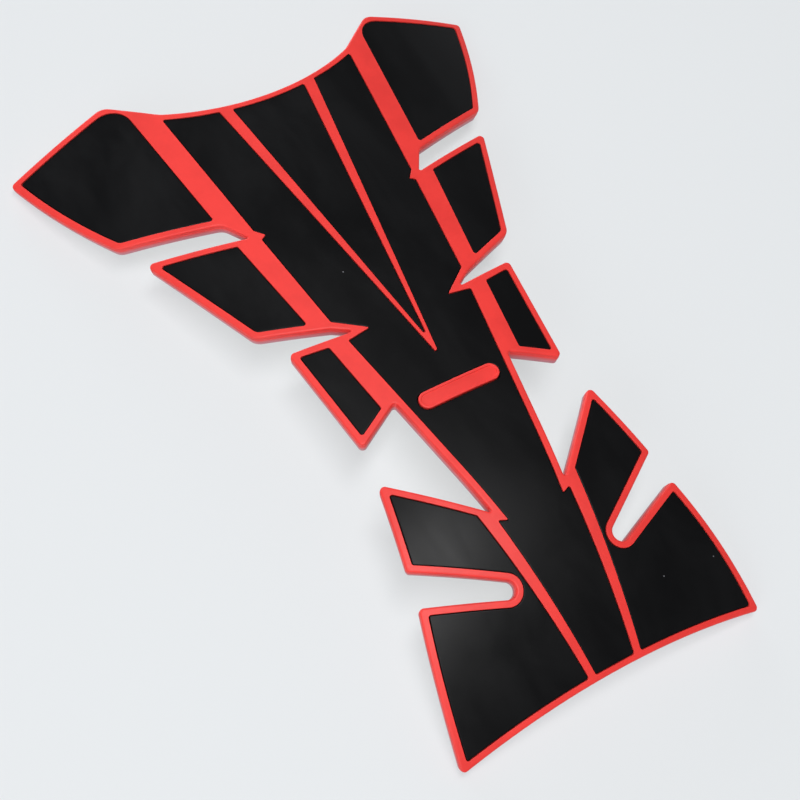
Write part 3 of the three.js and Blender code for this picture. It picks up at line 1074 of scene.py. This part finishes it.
@dataclass(frozen=True)
class AdhesiveFilm(Finish):
    """Clear acrylic adhesive film on the back: milky, slightly glossy, with a few trapped bubbles."""

    name = "milky_acrylic_adhesive_film"
    colour: str = "#d8d5cb"
    shadow: str = "#c8c4b8"
    roughness: Spot = (0.3, 0.42)
    cloud_mm: float = 8.0
    cloud_span: Spot = (0.35, 0.7)
    gloss_span: Spot = (0.3, 0.7)
    bubble_mm: float = 3.0
    bubble_span: Spot = (0.05, 0.16)
    bubble_height: float = 0.05

    def shader(self, add: AddNode, place: bpy.types.NodeSocket) -> bpy.types.Node:
        """Adds milky clouds and small domes over the bubbles.

        Args:
            add: add_node for the material's tree.
            place: Object coordinates.

        Returns:
            The shader.
        """
        cloud = add("TexNoise", {
            "Vector": place, "Scale": per_metre(self.cloud_mm), "Detail": 4.0, "Roughness": 0.55})
        bubbles = add("TexVoronoi", {
            "Vector": place, "Scale": per_metre(self.bubble_mm), "Randomness": 1.0}, feature="F1")
        dome = ramp(add, bubbles.outputs["Distance"], self.bubble_span, (1.0, 0.0))
        colour = add("Mix", {
            "Factor": ramp(add, cloud.outputs["Fac"], self.cloud_span),
            COLOUR_A: linear(self.colour), COLOUR_B: linear(self.shadow)}, data_type="RGBA")
        relief = add("Bump", {"Height": dome, "Strength": 0.35, "Distance": self.bubble_height * MM})
        return add("BsdfPrincipled", {
            "Base Color": colour.outputs[MIXED], "IOR": 1.47, "Coat Weight": 0.3, "Coat Roughness": 0.2,
            "Roughness": ramp(add, cloud.outputs["Fac"], self.gloss_span, self.roughness),
            "Normal": relief.outputs["Normal"]})


@dataclass(frozen=True)
class StudioPaper(Finish):
    """Pale paper on a light table: a little light comes through it, which softens the pad's shadow."""

    name = "pale_studio_paper"
    colour: str = "#969899"
    glow: str = "#f2f5f7"
    glow_strength: float = 0.55
    fibre_mm: float = 2.0
    fibre_height: float = 0.05

    def shader(self, add: AddNode, place: bpy.types.NodeSocket) -> bpy.types.Node:
        """Adds a faint relief of fibres, and the glow.

        Args:
            add: add_node for the material's tree.
            place: Object coordinates.

        Returns:
            The shader.
        """
        fibre = add("TexNoise", {"Vector": place, "Scale": per_metre(self.fibre_mm), "Detail": 3.0})
        relief = add("Bump", {
            "Height": fibre.outputs["Fac"], "Strength": 0.05, "Distance": self.fibre_height * MM})
        return add("BsdfPrincipled", {
            "Base Color": linear(self.colour), "Roughness": 0.8, "Specular IOR Level": 0.2,
            "Emission Color": linear(self.glow), "Emission Strength": self.glow_strength,
            "Normal": relief.outputs["Normal"]})


# Sub-assemblies


@dataclass
class RedMoulding:
    """The red moulding: rim, ribs, pockets and badge boss in one piece."""

    pattern: Pattern
    seat: Seat
    edge_round: float = 0.8
    foot_round: float = 0.25
    hold: float = 0.1  # a row this far past each rounding keeps the flat beside it flat
    bead: float = 0.1  # how far the parting bead stands out below the rounded edge
    bead_height: float = -1.35
    bead_run: float = 0.25
    bead_flat: float = 0.12
    pocket_edge: float = 0.1
    pocket_brim: float = 0.05
    boss_round: float = 0.35
    lip: float = 0.5
    lip_round: float = 0.12
    recess: float = 0.35
    recess_round: Spot = (0.06, 0.04)
    face_pitch: float = 2.5
    floor_pitch: float = 4.0
    back_pitch: float = 3.0
    badge_pitch: float = 2.0

    def wall(self) -> np.ndarray:
        """Draws the outer wall from the back up: soft foot, parting bead, rounded top edge.

        Returns:
            Its profile, as rows of (outward distance, height).
        """
        depth, foot = -self.pattern.sizes.thickness, self.foot_round
        top, bead, rise = self.edge_round, self.bead, self.bead_height
        return np.concatenate([
            [(-foot - self.hold, depth)],
            rounded((-foot, depth), (0, depth), (0, depth + foot), 4),
            [(0, rise - self.bead_run)],
            rounded((0, rise - bead), (0, rise), (-bead, rise), 4),
            [(-bead, rise + self.bead_flat)],
            rounded((-bead, -top + bead), (-bead, 0), (-top, 0), 8),
            [(-top - self.hold, 0)],
        ])

    def pocket_wall(self) -> np.ndarray:
        """Draws a pocket's wall from its mouth down: a small soft edge, then straight to the floor.

        Returns:
            Its profile.
        """
        floor, edge, inner = self.pattern.sizes.pocket_floor(), self.pocket_edge, -self.pocket_brim
        side = inner - edge
        return np.concatenate([
            [(0, 0)],
            rounded((inner, 0), (side, 0), (side, -edge), 4),
            [(side, -edge - self.hold), (side, floor + self.hold), (side, floor)],
        ])

    def boss_wall(self) -> np.ndarray:
        """Draws the badge boss from the pocket's floor up: wall, rounded edge, lip and sunk field.

        Returns:
            Its profile.
        """
        floor, top = self.pattern.sizes.pocket_floor(), self.pattern.sizes.badge_rise
        edge, sunk = self.boss_round, top - self.recess
        inner = -edge - self.lip
        reach, curl = self.recess_round
        return np.concatenate([
            [(0, floor), (0, floor + self.hold), (0, top - edge - self.hold)],
            rounded((0, top - edge), (0, top), (-edge, top), 6),
            rounded((inner + self.lip_round, top), (inner, top), (inner, sunk + curl), 4),
            rounded((inner, sunk + curl), (inner, sunk), (inner - reach, sunk), 3)[1:],
            [(inner - reach - self.hold, sunk)],
        ])

    def build(self, material: bpy.types.Material) -> None:
        """Builds the moulding as one closed surface.

        Args:
            material: its finish.
        """
        sizes, sheet = self.pattern.sizes, Sheet(self.seat)
        wall = sheet.carry(trace(self.pattern.moulding), self.wall())
        mouths = []
        for node, corners in self.pattern.all_panels().items():
            mouth = outset(corners, sizes.seam + self.pocket_edge + self.pocket_brim)
            pocket = sheet.carry(trace(mouth), self.pocket_wall())
            mouths.append(pocket[0])
            holes = []
            if node == "spine_panel":
                boss = sheet.carry(trace(self.pattern.badge), self.boss_wall())
                holes.append(boss[0])
                sheet.fill(boss[-1], [], sizes.badge_rise - self.recess, True, self.badge_pitch)
            sheet.fill(pocket[-1], holes, sizes.pocket_floor(), True, self.floor_pitch)
        sheet.fill(wall[-1], mouths, 0.0, True, self.face_pitch)
        sheet.fill(wall[0], [], -sizes.thickness, False, self.back_pitch)
        sheet.finish("red_moulding", material, "red_rubber", "base_moulding")


@dataclass
class GripPanels:
    """The ten black panels, each with a soft top edge, lying in its pocket."""

    pattern: Pattern
    seat: Seat
    edge: float = 0.3
    foot_round: float = 0.15
    hole_round: float = 0.2
    hold: float = 0.1  # as on the moulding
    face_pitch: float = 2.5
    back_pitch: float = 3.5

    def wall(self) -> np.ndarray:
        """Draws a panel's side from its underside up to the rim of its face, outward from that rim.

        Returns:
            Its profile.
        """
        top, low = -self.pattern.sizes.panel_drop, self.pattern.sizes.panel_back()
        side, foot = self.edge + self.hold, self.foot_round
        return np.concatenate([
            [(side - foot - self.hold, low)],
            rounded((side - foot, low), (side, low), (side, low + foot), 3),
            [(side, top - self.edge - self.hold)],
            rounded((side, top - self.edge), (side, top), (self.hold, top), 6),
            [(0, top)],
        ])

    def hole_wall(self) -> np.ndarray:
        """Draws the side of the hole round the badge boss, from the face down.

        Returns:
            Its profile.
        """
        top, low, edge = -self.pattern.sizes.panel_drop, self.pattern.sizes.panel_back(), self.hole_round
        return np.concatenate([
            [(edge + self.hold, top)],
            rounded((edge, top), (0, top), (0, top - edge), 5),
            [(0, top - edge - self.hold), (0, low + self.hold), (0, low)],
        ])

    def build(self, material: bpy.types.Material) -> None:
        """Builds every panel as a closed surface of its own.

        Args:
            material: their finish.
        """
        sizes = self.pattern.sizes
        for node, corners in self.pattern.all_panels().items():
            sheet = Sheet(self.seat)
            wall = sheet.carry(trace(outset(corners, -self.edge - self.hold)), self.wall())
            upper, lower = [], []
            if node == "spine_panel":
                hole = sheet.carry(trace(outset(self.pattern.badge, sizes.panel_gap)), self.hole_wall())
                upper, lower = [hole[0]], [hole[-1]]
            sheet.fill(wall[-1], upper, -sizes.panel_drop, True, self.face_pitch)
            sheet.fill(wall[0], lower, sizes.panel_back(), False, self.back_pitch)
            sheet.finish(f"black_{node}", material, "black_rubber", node)


@dataclass
class Backing:
    """The adhesive film on the back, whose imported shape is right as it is."""

    node: str = "adhesive_film"

    def dress(self, material: bpy.types.Material) -> None:
        """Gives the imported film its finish.

        Args:
            material: the film's finish.
        """
        for slot in bpy.data.objects[self.node].material_slots:
            slot.material = material
        log.info("%s: dressed", self.node)


@dataclass(frozen=True)
class SoftBox:
    """A studio light: direction, distance from the pad, width and length in metres, watts and tint."""

    name: str
    direction: tuple[float, float, float]
    distance: float
    size: tuple[float, float]
    power: float
    tint: str


@dataclass
class Studio:
    """Pale floor, soft lights and the camera."""

    seat: Seat
    camera_place: tuple[float, float, float] = (-175.7, -178.1, 388.4)  # before the pad leans
    camera_right: tuple[float, float, float] = (0.8534, -0.5025, 0.1385)
    camera_down: tuple[float, float, float] = (-0.385, -0.7867, -0.4826)
    lens_mm: float = 72.0
    sensor_mm: float = 36.0
    clip: Spot = (0.01, 20.0)  # in metres, as is the floor's half width
    floor_half: float = 8.0
    floor_drop: float = 0.2  # millimetres below the pad's feet
    daylight: Spot = (0.62, 0.16)  # at the horizon and higher up
    horizon: Spot = (0.04, 0.14)  # heights between which it falls off
    sky: str = "#f3f6fa"
    boxes: tuple[SoftBox, ...] = (
        SoftBox("overhead_strip", (-0.12, -0.09, 0.98), 1.1, (0.33, 0.88), 9.0, "#ffffff"),
        SoftBox("side_softbox", (-0.78, -0.42, 0.46), 1.4, (0.9, 0.9), 6.5, "#f4f8ff"),
        SoftBox("back_softbox", (0.05, 0.98, 0.18), 1.6, (1.2, 0.5), 12.0, "#f4f8ff"),
    )

    def build_floor(self) -> None:
        """Lays the floor under the pad."""
        corners = np.array([(-1, -1, 0), (1, -1, 0), (1, 1, 0), (-1, 1, 0)], float) * self.floor_half
        corners[:, 2] = -self.floor_drop * MM
        mesh = bpy.data.meshes.new("studio_floor")
        mesh.from_pydata(corners.tolist(), [], [(0, 1, 2, 3)])
        mesh.materials.append(StudioPaper().material())
        put("studio_floor", mesh)

    def build_lights(self) -> None:
        """Sets the softboxes, each turned to the pad."""
        for box in self.boxes:
            light = bpy.data.lights.new(box.name, "AREA")
            light.shape, light.energy = "RECTANGLE", box.power
            light.size, light.size_y = box.size
            light.color = linear(box.tint)[:3]
            away = Vector(box.direction).normalized()
            aim = away.to_track_quat("Z", "Y").to_matrix().to_4x4()
            put(box.name, light).matrix_world = Matrix.Translation(away * box.distance) @ aim

    def build_daylight(self) -> None:
        """Sets a daylight that is paler near the horizon, which hides the floor's end."""
        world = bpy.data.worlds.new("studio_daylight")
        world.use_nodes = True
        world.node_tree.nodes.clear()
        add = partial(add_node, world.node_tree)
        height = add("SeparateXYZ", {"Vector": add("TexCoord").outputs["Generated"]}).outputs["Z"]
        sky = add("Background", {
            "Color": linear(self.sky), "Strength": ramp(add, height, self.horizon, self.daylight)})
        add("OutputWorld", {"Surface": sky.outputs["Background"]})
        bpy.context.scene.world = world
        bpy.context.scene.view_settings.view_transform = "Standard"

    def build_camera(self) -> None:
        """Puts the camera where the photograph was taken from, by its place and axes in the drawing."""
        turn = self.seat.turn()
        right = turn @ np.array(self.camera_right)
        down = turn @ np.array(self.camera_down)
        right /= np.linalg.norm(right)
        down -= right * (down @ right)
        down /= np.linalg.norm(down)
        ahead = np.cross(right, down)
        place = (turn @ np.array(self.camera_place) + self.seat.shift) * MM
        lens = bpy.data.cameras.new("camera")
        lens.sensor_fit, lens.sensor_width, lens.lens = "HORIZONTAL", self.sensor_mm, self.lens_mm
        lens.clip_start, lens.clip_end = self.clip
        frame = Matrix(np.column_stack([right, -down, -ahead]).tolist()).to_4x4()
        camera = put("camera", lens)
        camera.matrix_world = Matrix.Translation(Vector(place)) @ frame
        bpy.context.scene.camera = camera


def main() -> None:
    """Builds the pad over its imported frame, dresses it, and sets the studio."""
    logging.basicConfig(level=logging.INFO, format="%(name)s: %(message)s")
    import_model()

    pattern = Pattern(PadSizes())
    seat = Seat(TankForm())
    edge = trace(pattern.moulding).points
    back = -pattern.sizes.thickness
    tip, heel = (np.array([c[0], c[1], back]) for c in pattern.rests())
    levels = [back, -RedMoulding.edge_round]
    seat.settle(tip, heel, np.column_stack([np.tile(edge, (2, 1)), np.repeat(levels, len(edge))]))
    log.info("lean %.3f degrees, shift %s mm", np.degrees(seat.lean), np.round(seat.shift, 3))

    RedMoulding(pattern, seat).build(SatinRedRubber().material())
    GripPanels(pattern, seat).build(MattBlackRubber().material())
    Backing().dress(AdhesiveFilm().material())

    studio = Studio(seat)
    studio.build_floor()
    studio.build_lights()
    studio.build_daylight()
    studio.build_camera()


if __name__ == "__main__":
    main()
